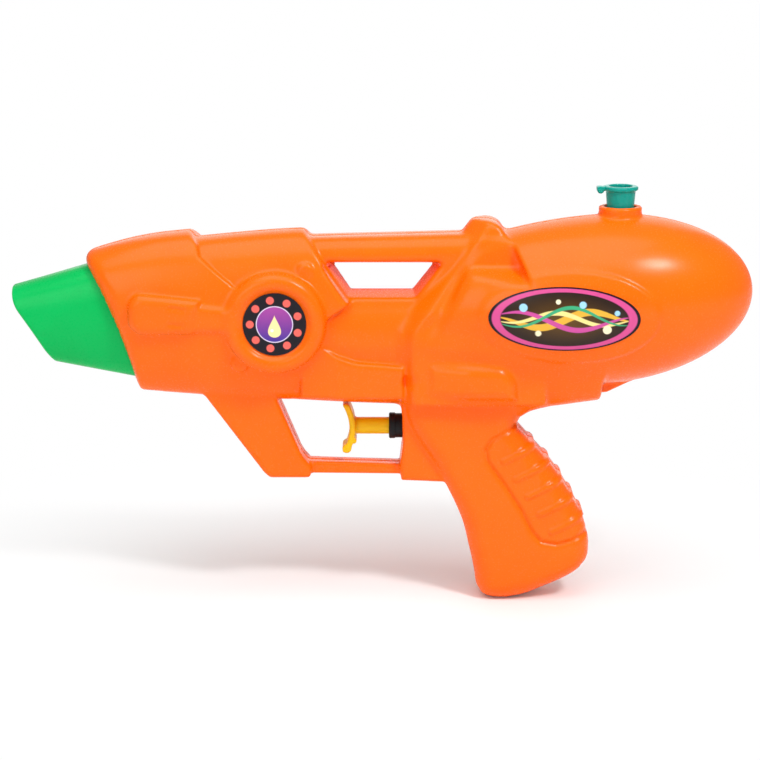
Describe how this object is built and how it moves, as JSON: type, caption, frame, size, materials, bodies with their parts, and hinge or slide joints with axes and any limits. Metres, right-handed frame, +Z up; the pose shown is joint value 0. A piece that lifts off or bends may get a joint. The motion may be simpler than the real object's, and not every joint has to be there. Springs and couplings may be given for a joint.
{
  "type": "toy water squirter",
  "caption": "Hand-held toy water squirter with an egg-shaped tank, carry handle, guarded push trigger on a plunger pump, slanted muzzle hood and push-in filler plug.",
  "frame": {"origin": "centre of the underside of the whole toy's box: on the seam plane, half way along its length, level with the butt of the grip", "axes": "+Z up, muzzle along -X, the seam of the two halves in the XZ plane, the side seen in the picture at -Y"},
  "size_m": [0.2799, 0.0628, 0.1581],
  "materials": {
    "orange_plastic": "satin gloss moulded polypropylene",
    "green_plastic": "satin gloss moulded polypropylene",
    "black_plastic": "satin",
    "yellow_plastic": "satin gloss",
    "teal_plastic": "soft satin polyethylene",
    "natural_plastic": "milky",
    "clear_hose": "milky soft vinyl",
    "rubber": "matt",
    "steel": "bright",
    "printed_label": "glossy printed film"
  },
  "bodies": {
    "body": {"left_body_half": "orange_plastic", "right_body_half": "orange_plastic", "muzzle_hood": "green_plastic", "nozzle_jet": "black_plastic", "delivery_hose": "clear_hose", "suction_hose": "clear_hose", "pump_cylinder": "natural_plastic", "pump_collar": "black_plastic", "gland_gasket": "rubber", "valve_block": "natural_plastic", "inlet_fitting": "natural_plastic", "outlet_fitting": "natural_plastic", "return_spring": "steel", "round_badge_left": "printed_label", "round_badge_right": "printed_label", "oval_badge_left": "printed_label", "oval_badge_right": "printed_label"},
    "trigger": {"trigger": "yellow_plastic", "piston_seal": "rubber"},
    "plug": {"filler_plug": "teal_plastic"},
    "inlet_valve": {"inlet_ball": "steel"},
    "outlet_valve": {"outlet_ball": "steel"}
  },
  "joints": [
    {"name": "trigger_pull", "type": "slide", "parent": "body", "child": "trigger", "axis": [1, 0, 0], "range_m": [0, 0.011], "stiffness_N_per_m": 150, "springref_m": -0.012, "deforming": ["return_spring"]},
    {"name": "plug_lift", "type": "slide", "parent": "body", "child": "plug", "axis": [0, 0, 1], "range_m": [0, 0.02]},
    {"name": "inlet_ball_lift", "type": "slide", "parent": "body", "child": "inlet_valve", "axis": [0, 0, 1], "range_m": [0, 0.0014]},
    {"name": "outlet_ball_lift", "type": "slide", "parent": "body", "child": "outlet_valve", "axis": [0, 0, 1], "range_m": [0, 0.0014]}
  ]
}
